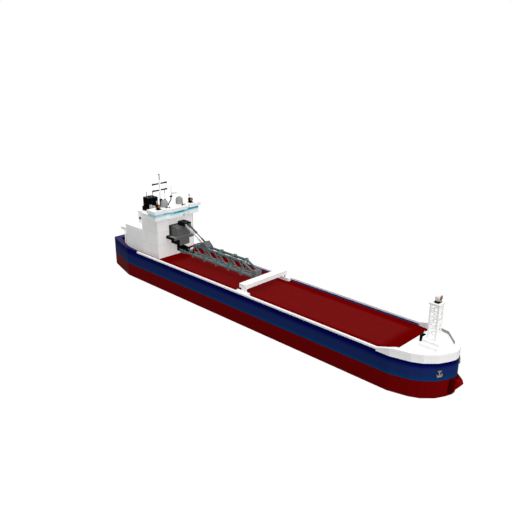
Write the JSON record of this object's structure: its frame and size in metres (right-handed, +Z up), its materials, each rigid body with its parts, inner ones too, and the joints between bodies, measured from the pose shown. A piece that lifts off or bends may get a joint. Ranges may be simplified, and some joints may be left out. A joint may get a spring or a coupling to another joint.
{
  "type": "toy bulk carrier",
  "caption": "Brick-built toy bulk carrier with a red and blue hull, white aft house, slewing and luffing unloading boom, and a travelling gantry.",
  "frame": {"origin": "centre of the hull on the surface that it stands on", "axes": "+X to the bow, +Y to port, +Z up"},
  "size_m": [0.864, 0.128, 0.2286],
  "materials": {
    "white": "glossy moulded",
    "navy": "glossy moulded",
    "hull_red": "glossy moulded",
    "deck_red": "glossy moulded",
    "black": "glossy moulded",
    "dark_grey": "glossy moulded",
    "boom_grey": "glossy moulded",
    "light_grey": "glossy moulded",
    "window": "clear tinted",
    "bronze": "satin"
  },
  "bodies": {
    "hull": {"hull_lower": "hull_red", "hull_upper": "navy", "bulbous_bow": "hull_red", "deck": "deck_red", "bulwark_starboard": "navy", "bulwark_port": "navy", "rail_starboard": "white", "rail_port": "white", "stern_bulwark": "navy", "bow_band": "navy", "forecastle_rail": "white", "forecastle_deck": "white", "foremast_step": "white", "foremast": "white", "fore_searchlight": "black", "deck_lamp": "black", "anchor_starboard": "light_grey", "anchor_port": "light_grey", "house_front": "white", "house_back": "white", "house_side_starboard": "white", "house_side_port": "white", "aft_house_side_starboard": "white", "aft_house_side_port": "white", "aft_house_back": "white", "aft_house_roof": "white", "engine_casing": "white", "boat_deck": "white", "bridge_floor": "white", "bridge_windows": "window", "bridge_roof": "white", "funnel": "black", "main_mast": "white", "dome_starboard": "light_grey", "dome_port": "light_grey", "wing_searchlight_starboard": "black", "wing_searchlight_port": "black", "hopper": "dark_grey"},
    "slewing_column": {"turret": "black", "cylinder_bracket": "black"},
    "boom": {"boom_lattice": "boom_grey", "boom_head": "boom_grey", "boom_saddle": "dark_grey"},
    "barrel_starboard": {"luff_barrel_starboard": "light_grey"},
    "barrel_port": {"luff_barrel_port": "dark_grey"},
    "rod_starboard": {"luff_rod_starboard": "light_grey"},
    "rod_port": {"luff_rod_port": "dark_grey"},
    "travelling_gantry": {"gantry": "white"},
    "propeller_body": {"propeller": "bronze"},
    "rudder_body": {"rudder": "hull_red"}
  },
  "joints": [
    {"name": "boom_slew", "type": "hinge", "parent": "hull", "child": "slewing_column", "pos_m": [-0.222, 0, 0.08], "axis": [0, 0, 1], "range_deg": [-90, 90]},
    {"name": "boom_luff", "type": "hinge", "parent": "slewing_column", "child": "boom", "pos_m": [-0.212, 0, 0.0732], "axis": [0, -1, 0], "range_deg": [0, 15]},
    {"name": "barrel_pivot_starboard", "type": "hinge", "parent": "slewing_column", "child": "barrel_starboard", "pos_m": [-0.206, -0.0041, 0.133], "axis": [0, -1, 0], "range_deg": [-0.1, 10.8]},
    {"name": "barrel_pivot_port", "type": "hinge", "parent": "slewing_column", "child": "barrel_port", "pos_m": [-0.206, 0.0041, 0.133], "axis": [0, -1, 0], "range_deg": [-0.1, 10.8]},
    {"name": "rod_stroke_starboard", "type": "slide", "parent": "barrel_starboard", "child": "rod_starboard", "axis": [-0.8879, 0, 0.4601], "range_m": [-0.0001, 0.0155]},
    {"name": "rod_stroke_port", "type": "slide", "parent": "barrel_port", "child": "rod_port", "axis": [-0.8879, 0, 0.4601], "range_m": [-0.0001, 0.0155]},
    {"name": "gantry_travel", "type": "slide", "parent": "hull", "child": "travelling_gantry", "axis": [1, 0, 0], "range_m": [0, 0.27]},
    {"name": "propeller_shaft", "type": "hinge", "parent": "hull", "child": "propeller_body", "pos_m": [-0.399, 0, 0.0128], "axis": [1, 0, 0], "continuous": true},
    {"name": "rudder_stock", "type": "hinge", "parent": "hull", "child": "rudder_body", "pos_m": [-0.411, 0, 0.02], "axis": [0, 0, 1], "range_deg": [-35, 35]}
  ],
  "couplings": [
    {"joint": "barrel_pivot_starboard", "follows": "boom_luff", "ratio": 0.6769},
    {"joint": "barrel_pivot_port", "follows": "boom_luff", "ratio": 0.6769},
    {"joint": "rod_stroke_starboard", "follows": "boom_luff", "m_per_rad": 0.0573},
    {"joint": "rod_stroke_port", "follows": "boom_luff", "m_per_rad": 0.0573}
  ]
}
